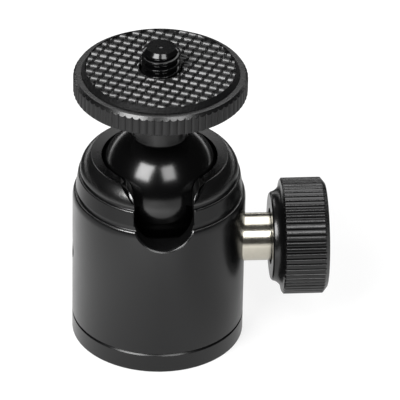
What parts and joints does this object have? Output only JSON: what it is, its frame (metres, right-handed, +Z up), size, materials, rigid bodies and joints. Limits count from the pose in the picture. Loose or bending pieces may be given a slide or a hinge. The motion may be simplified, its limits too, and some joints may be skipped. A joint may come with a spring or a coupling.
{
  "type": "tripod ball head",
  "caption": "Small ball head for a tripod: round housing with a drop slot, ball on a short neck, camera platform with a threaded stud, and one clamping knob.",
  "frame": {"origin": "centre of the face that rests on the tripod, on the housing's axis", "axes": "+Z up along the housing's axis to the camera stud, -Y out of the drop slot, +X along the knob's axis, away from the housing"},
  "size_m": [0.0413, 0.028, 0.0531],
  "materials": {
    "housing_black": "black anodised, satin, finely turned",
    "platform_black": "black anodised, satin",
    "ball_black": "black anodised, polished",
    "pad_rubber": "moulded with a woven pattern",
    "stud_black": "blackened",
    "bush_nickel": "bright nickel plate",
    "knob_black": "black, satin, ribbed",
    "nylon_black": "black nylon, moulded",
    "plain_steel": "zinc plated",
    "cup_black": "black anodised, as turned",
    "brass": "as turned"
  },
  "bodies": {
    "housing": {"housing": "housing_black", "upper_seat_ring": "nylon_black", "base_cap": "housing_black", "thread_bushing": "plain_steel", "clamp_bush": "bush_nickel", "guide_screw": "plain_steel", "disc_springs": "plain_steel"},
    "cup": {"pressure_cup": "cup_black"},
    "thrust": {"thrust_tip": "brass", "tip_ring": "plain_steel"},
    "knob": {"clamp_screw": "plain_steel", "knob": "knob_black", "knob_screw": "plain_steel", "knob_cap": "knob_black"},
    "liner": {"ball_liner": "nylon_black"},
    "ball": {"ball": "ball_black"},
    "platform": {"platform": "platform_black", "pad": "pad_rubber", "camera_stud": "stud_black"}
  },
  "joints": [
    {"name": "ball_lean", "type": "hinge", "parent": "housing", "child": "liner", "pos_m": [0, 0, 0.02815], "axis": [0, 1, 0], "range_deg": [-25, 25]},
    {"name": "ball_tilt", "type": "hinge", "parent": "liner", "child": "ball", "pos_m": [0, 0, 0.02815], "axis": [1, 0, 0], "range_deg": [-25, 90]},
    {"name": "platform_turn", "type": "hinge", "parent": "ball", "child": "platform", "pos_m": [0, 0, 0.0451], "axis": [0, 0, 1], "continuous": true},
    {"name": "clamp_travel", "type": "slide", "parent": "housing", "child": "thrust", "axis": [1, 0, 0], "range_m": [0, 0.0015]},
    {"name": "knob_turn", "type": "hinge", "parent": "thrust", "child": "knob", "pos_m": [0.02, 0, 0.0167], "axis": [1, 0, 0], "range_deg": [0, 540.1]},
    {"name": "cup_lift", "type": "slide", "parent": "housing", "child": "cup", "axis": [0, 0, -1], "range_m": [0, 0.000301], "deforming": ["disc_springs"]}
  ],
  "couplings": [
    {"joint": "knob_turn", "follows": "clamp_travel", "rad_per_m": 6283.2},
    {"joint": "cup_lift", "follows": "clamp_travel", "ratio": 0.2}
  ]
}
